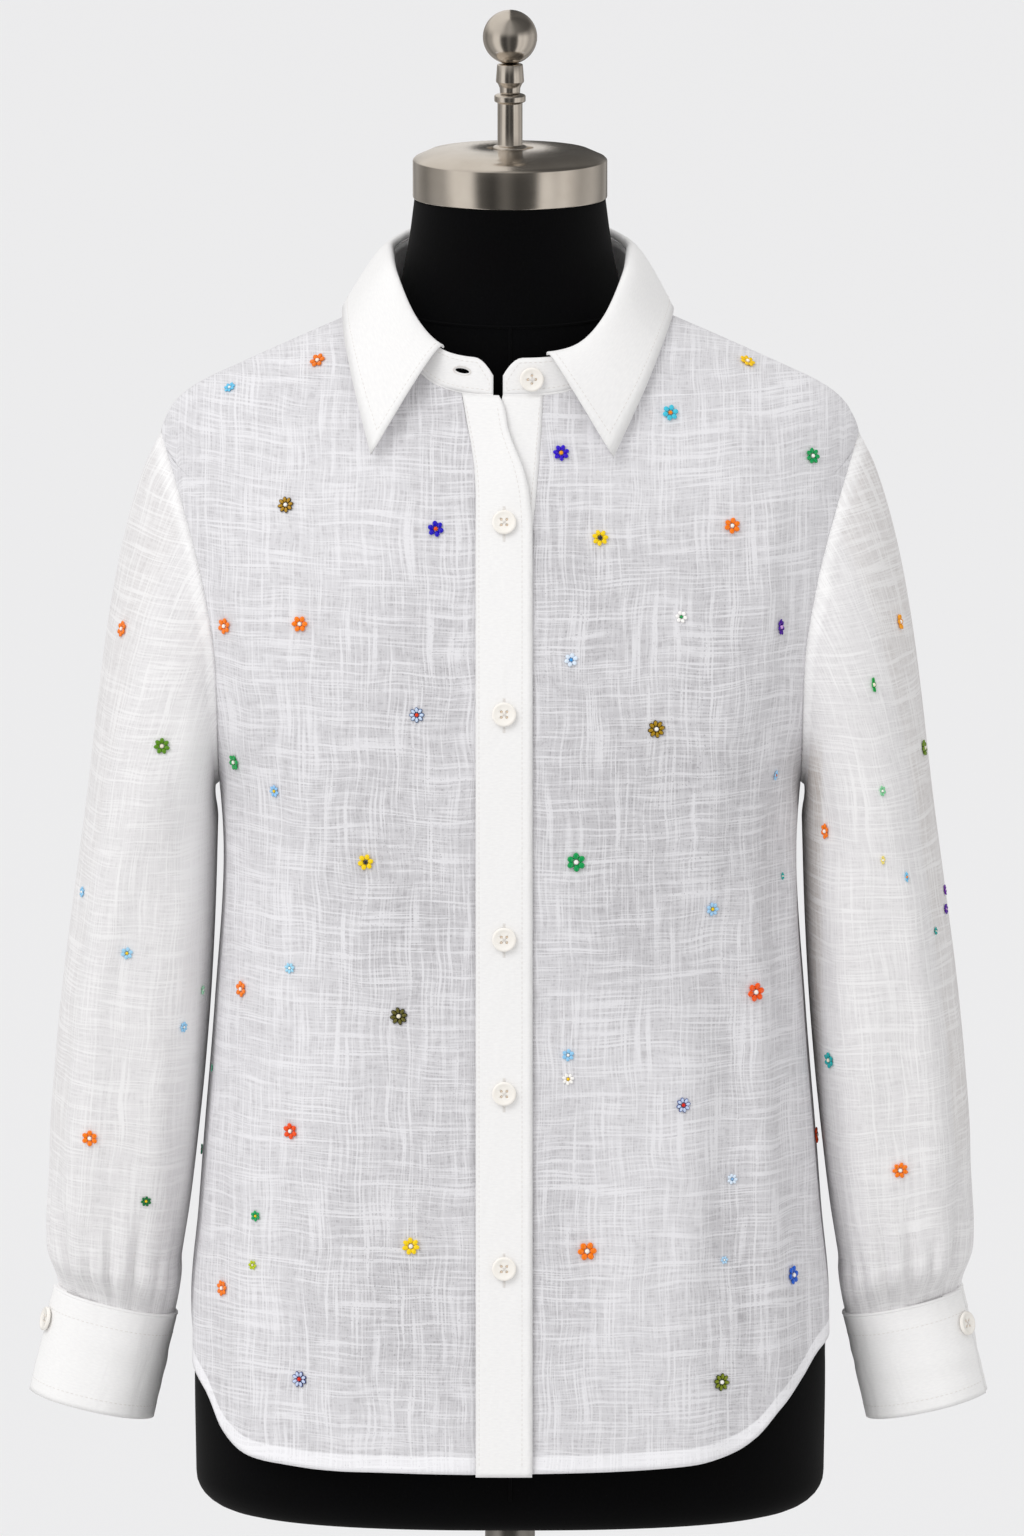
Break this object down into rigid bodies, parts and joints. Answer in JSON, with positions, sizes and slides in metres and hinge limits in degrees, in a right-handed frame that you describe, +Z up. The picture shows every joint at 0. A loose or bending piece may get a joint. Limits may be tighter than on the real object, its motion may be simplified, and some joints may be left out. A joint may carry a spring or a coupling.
{
  "type": "beaded shirt on a dress form",
  "caption": "White gauze button-front shirt with poplin collar, cuffs and front band and scattered bead flowers, worn by a limbless black dress form on a steel pole and round base.",
  "frame": {"origin": "centre of the base plate's underside, on the floor", "axes": "+Z up the pole, -Y towards the front of the shirt, +X towards the wearer's left"},
  "size_m": [0.5771, 0.36, 1.5855],
  "materials": {
    "gauze": "white slub gauze, semi-open weave",
    "poplin": "smooth white poplin",
    "buttons": "ivory shell, satin",
    "jersey": "black matt jersey",
    "steel": "turned and brushed"
  },
  "bodies": {
    "root": {"front_right": "gauze", "front_left": "gauze", "back": "gauze", "sleeve_right": "gauze", "sleeve_left": "gauze", "button_band": "poplin", "buttonhole_band": "poplin", "collar_stand": "poplin", "collar_fall": "poplin", "cuff_right": "poplin", "cuff_left": "poplin", "front_button_1": "buttons", "front_button_2": "buttons", "front_button_3": "buttons", "front_button_4": "buttons", "front_button_5": "buttons", "collar_button": "buttons", "cuff_button_right": "buttons", "cuff_button_left": "buttons", "form_body": "jersey", "neck_cap": "steel", "finial_stem": "steel", "finial_catch": "steel", "finial_ball": "steel", "pole": "steel", "base_hub": "steel", "base_plate": "steel"}
  },
  "joints": []
}
